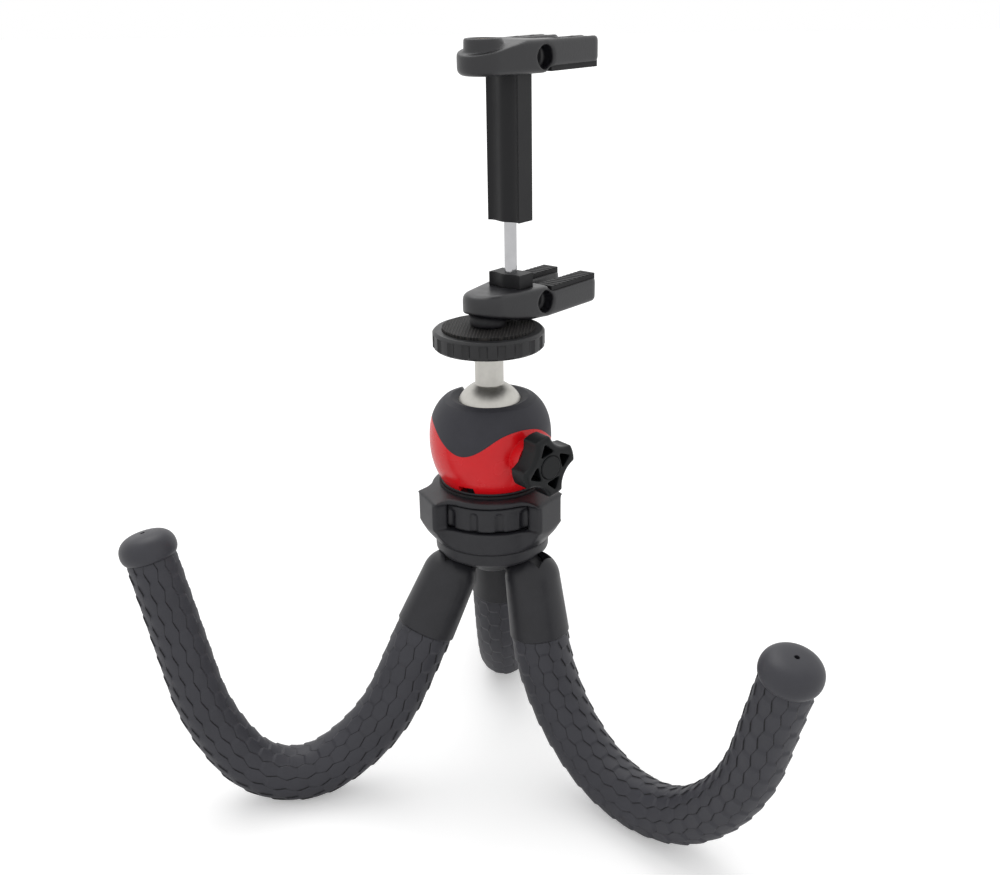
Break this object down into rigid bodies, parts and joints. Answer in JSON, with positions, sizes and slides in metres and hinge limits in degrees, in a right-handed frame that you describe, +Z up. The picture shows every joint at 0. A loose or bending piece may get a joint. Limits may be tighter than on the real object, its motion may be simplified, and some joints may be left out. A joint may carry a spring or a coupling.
{
  "type": "flexible leg tripod",
  "caption": "Small tripod with bendable rubber-covered legs, a ball head with a side knob and drop notch, and a spring-loaded phone clamp.",
  "frame": {"origin": "on the hub's upright axis, at the height of the surface that the legs stand on", "axes": "+Z up along the hub, the ball's stem and the clamp's screw at rest; +Y over the back leg"},
  "size_m": [0.2429, 0.2392, 0.2755],
  "materials": {
    "black_plastic": "moulded black plastic, fine satin grain",
    "sleeve_rubber": "matt dark grey rubber with incised scale pattern",
    "foot_rubber": "smooth matt black rubber",
    "pad_rubber": "matt black rubber",
    "wire": "plain drawn wire",
    "steel": "plain zinc-plated steel",
    "rod_steel": "bright polished rod",
    "brass": "turned brass",
    "red_shell": "glossy red shell",
    "grey_cap": "satin dark grey",
    "seat_plastic": "plain acetal",
    "ball_metal": "bead-blasted satin",
    "disc_metal": "satin black",
    "knob_plastic": "satin dark grey",
    "clamp_plastic": "moulded dark plastic"
  },
  "bodies": {
    "hub": {"hub_housing": "black_plastic", "hub_base": "black_plastic", "hub_screw": "steel", "left_hinge_pin": "steel", "right_hinge_pin": "steel", "back_hinge_pin": "steel"},
    "lock_wheel": {"lock_wheel": "black_plastic", "lock_stud": "steel"},
    "ball_head": {"base_gasket": "pad_rubber", "head_base": "black_plastic", "stud_insert": "brass", "seat_washer": "steel", "ball_seat": "seat_plastic", "head_housing": "red_shell", "head_cap": "grey_cap"},
    "brake": {"brake_shoe": "seat_plastic"},
    "knob": {"clamp_screw": "steel", "clamp_knob": "knob_plastic", "knob_cap": "grey_cap"},
    "ball": {"ball_stem": "ball_metal", "platform_screw": "steel"},
    "platform": {"platform_disc": "disc_metal", "platform_pad": "pad_rubber"},
    "phone_clamp": {"lower_jaw": "clamp_plastic", "lower_nut": "brass", "lower_pads": "pad_rubber", "rod_socket": "clamp_plastic", "clamp_rod": "rod_steel", "rod_retainer": "steel", "clamp_spring": "steel"},
    "upper_jaw": {"upper_jaw": "clamp_plastic", "upper_nut": "brass", "upper_pads": "pad_rubber", "slide_tube": "clamp_plastic"},
    "left_leg": {"left_collar": "black_plastic", "left_sleeve": "sleeve_rubber", "left_core": "wire"},
    "left_tip": {"left_foot": "foot_rubber"},
    "right_leg": {"right_collar": "black_plastic", "right_sleeve": "sleeve_rubber", "right_core": "wire"},
    "right_tip": {"right_foot": "foot_rubber"},
    "back_leg": {"back_collar": "black_plastic", "back_sleeve": "sleeve_rubber", "back_core": "wire"},
    "back_tip": {"back_foot": "foot_rubber"}
  },
  "joints": [
    {"name": "wheel_turn", "type": "hinge", "parent": "hub", "child": "lock_wheel", "pos_m": [0, 0, 0.11], "axis": [0, 0, 1], "range_deg": [-1080, 0]},
    {"name": "head_lift", "type": "slide", "parent": "hub", "child": "ball_head", "axis": [0, 0, 1], "range_m": [0, 0.0038]},
    {"name": "brake_slide", "type": "slide", "parent": "ball_head", "child": "brake", "axis": [0.682, -0.7314, 0], "range_m": [0, 0.00076]},
    {"name": "knob_turn", "type": "hinge", "parent": "brake", "child": "knob", "pos_m": [0, 0, 0.1334], "axis": [0.682, -0.7314, 0], "range_deg": [0, 270]},
    {"name": "ball_tilt", "type": "hinge", "parent": "ball_head", "child": "ball", "pos_m": [0, 0, 0.1446], "axis": [-0.9613, -0.2756, 0], "range_deg": [-35, 85]},
    {"name": "platform_spin", "type": "hinge", "parent": "ball", "child": "platform", "pos_m": [0, 0, 0.173], "axis": [0, 0, 1], "continuous": true},
    {"name": "clamp_swivel", "type": "hinge", "parent": "ball", "child": "phone_clamp", "pos_m": [0, 0, 0.18], "axis": [0, 0, 1], "continuous": true},
    {"name": "jaw_slide", "type": "slide", "parent": "phone_clamp", "child": "upper_jaw", "axis": [0, 0, 1], "range_m": [-0.017, 0.014], "deforming": ["clamp_spring"]},
    {"name": "left_root", "type": "hinge", "parent": "hub", "child": "left_leg", "pos_m": [-0.01576, -0.0091, 0.0827], "axis": [0.5, -0.866, 0], "range_deg": [-17.5, 27.5]},
    {"name": "left_flex", "type": "hinge", "parent": "left_leg", "child": "left_tip", "pos_m": [-0.07275, -0.03397, 0.00977], "axis": [-0.2348, 0.9613, -0.1443], "range_deg": [-40, 40], "deforming": ["left_sleeve", "left_core"]},
    {"name": "right_root", "type": "hinge", "parent": "hub", "child": "right_leg", "pos_m": [0.01576, -0.0091, 0.0827], "axis": [0.5, 0.866, 0], "range_deg": [-37, 8]},
    {"name": "right_flex", "type": "hinge", "parent": "right_leg", "child": "right_tip", "pos_m": [0.05578, -0.04349, 0.00978], "axis": [-0.6845, -0.7283, -0.0321], "range_deg": [-40, 40], "deforming": ["right_sleeve", "right_core"]},
    {"name": "back_root", "type": "hinge", "parent": "hub", "child": "back_leg", "pos_m": [0, 0.0182, 0.0827], "axis": [-1, 0, 0], "range_deg": [-26, 19]},
    {"name": "back_flex", "type": "hinge", "parent": "back_leg", "child": "back_tip", "pos_m": [-0.00169, 0.07056, 0.00981], "axis": [0.9979, 0.0619, 0.0213], "range_deg": [-40, 40], "deforming": ["back_sleeve", "back_core"]}
  ],
  "couplings": [
    {"joint": "wheel_turn", "follows": "head_lift", "rad_per_m": -4947.4},
    {"joint": "brake_slide", "follows": "knob_turn", "m_per_rad": 0.00015915}
  ]
}
